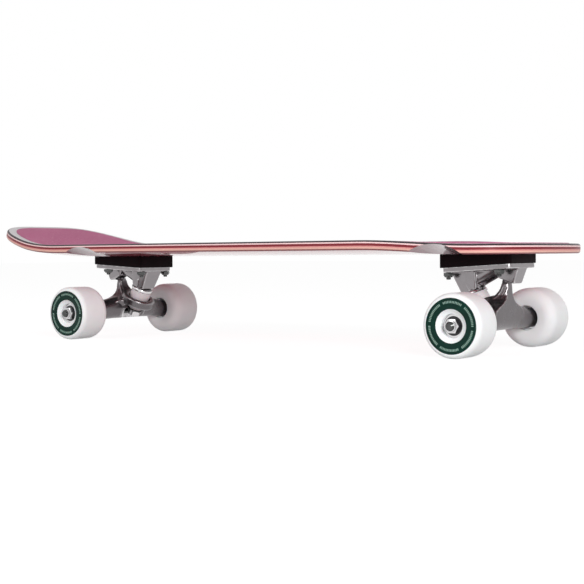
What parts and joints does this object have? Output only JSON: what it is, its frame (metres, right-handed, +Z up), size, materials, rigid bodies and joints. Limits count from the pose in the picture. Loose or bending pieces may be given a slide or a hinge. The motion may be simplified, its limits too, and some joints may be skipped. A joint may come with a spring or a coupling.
{
  "type": "cruiser skateboard",
  "caption": "Cruiser skateboard: a maple deck with a kicked tail on sprung steering trucks with free-spinning soft wheels.",
  "frame": {"origin": "on the floor under the middle of the board's length and width, as it stands on its four wheels", "axes": "+X to the nose, +Y to the rider's left, +Z up"},
  "size_m": [0.7082, 0.205, 0.1329],
  "materials": {
    "maple": "laminated maple, rose and cream plies, satin edge and mauve stained underside",
    "grip": "fine mauve grit sheet",
    "riser": "matte black",
    "cast": "polished casting",
    "steel": "bright plated",
    "bearing": "bright race around a black shield",
    "nylon": "dark plated with a locking collar",
    "bushing": "pale translucent urethane",
    "cup": "matte black",
    "wheel": "smooth white urethane with a dark green printed ring"
  },
  "bodies": {
    "board": {"deck": "maple", "grip_sheet": "grip", "front_riser": "riser", "front_baseplate": "cast", "front_pivot_cup": "cup", "front_kingpin": "steel", "front_kingpin_nut": "steel", "front_upper_washer": "steel", "front_upper_bushing": "bushing", "front_lower_bushing": "bushing", "front_lower_washer": "steel", "front_inner_left_bolt": "steel", "front_inner_left_lock_nut": "nylon", "front_inner_right_bolt": "steel", "front_inner_right_lock_nut": "nylon", "front_outer_left_bolt": "steel", "front_outer_left_lock_nut": "nylon", "front_outer_right_bolt": "steel", "front_outer_right_lock_nut": "nylon", "rear_riser": "riser", "rear_baseplate": "cast", "rear_pivot_cup": "cup", "rear_kingpin": "steel", "rear_kingpin_nut": "steel", "rear_upper_washer": "steel", "rear_upper_bushing": "bushing", "rear_lower_bushing": "bushing", "rear_lower_washer": "steel", "rear_inner_left_bolt": "steel", "rear_inner_left_lock_nut": "nylon", "rear_inner_right_bolt": "steel", "rear_inner_right_lock_nut": "nylon", "rear_outer_left_bolt": "steel", "rear_outer_left_lock_nut": "nylon", "rear_outer_right_bolt": "steel", "rear_outer_right_lock_nut": "nylon"},
    "front_truck": {"front_hanger": "cast", "front_axle": "steel", "front_left_bearing_spacer": "steel", "front_left_axle_nut": "steel", "front_right_bearing_spacer": "steel", "front_right_axle_nut": "steel"},
    "front_left_roller": {"front_left_wheel": "wheel", "front_left_inner_bearing": "bearing", "front_left_outer_bearing": "bearing"},
    "front_right_roller": {"front_right_wheel": "wheel", "front_right_inner_bearing": "bearing", "front_right_outer_bearing": "bearing"},
    "rear_truck": {"rear_hanger": "cast", "rear_axle": "steel", "rear_left_bearing_spacer": "steel", "rear_left_axle_nut": "steel", "rear_right_bearing_spacer": "steel", "rear_right_axle_nut": "steel"},
    "rear_left_roller": {"rear_left_wheel": "wheel", "rear_left_inner_bearing": "bearing", "rear_left_outer_bearing": "bearing"},
    "rear_right_roller": {"rear_right_wheel": "wheel", "rear_right_inner_bearing": "bearing", "rear_right_outer_bearing": "bearing"}
  },
  "joints": [
    {"name": "front_steer", "type": "hinge", "parent": "board", "child": "front_truck", "pos_m": [0.27146, 0, 0.04112], "axis": [0.7071, 0, 0.7071], "range_deg": [-10, 10], "stiffness_Nm_per_rad": 60, "deforming": ["front_upper_bushing", "front_lower_bushing"]},
    {"name": "front_left_spin", "type": "hinge", "parent": "front_truck", "child": "front_left_roller", "pos_m": [0.29007, 0.0782, 0.03], "axis": [0, 1, 0], "continuous": true},
    {"name": "front_right_spin", "type": "hinge", "parent": "front_truck", "child": "front_right_roller", "pos_m": [0.29007, -0.0782, 0.03], "axis": [0, 1, 0], "continuous": true},
    {"name": "rear_steer", "type": "hinge", "parent": "board", "child": "rear_truck", "pos_m": [-0.18732, 0, 0.04112], "axis": [-0.7071, 0, 0.7071], "range_deg": [-10, 10], "stiffness_Nm_per_rad": 60, "deforming": ["rear_upper_bushing", "rear_lower_bushing"]},
    {"name": "rear_left_spin", "type": "hinge", "parent": "rear_truck", "child": "rear_left_roller", "pos_m": [-0.20593, 0.0782, 0.03], "axis": [0, 1, 0], "continuous": true},
    {"name": "rear_right_spin", "type": "hinge", "parent": "rear_truck", "child": "rear_right_roller", "pos_m": [-0.20593, -0.0782, 0.03], "axis": [0, 1, 0], "continuous": true}
  ]
}
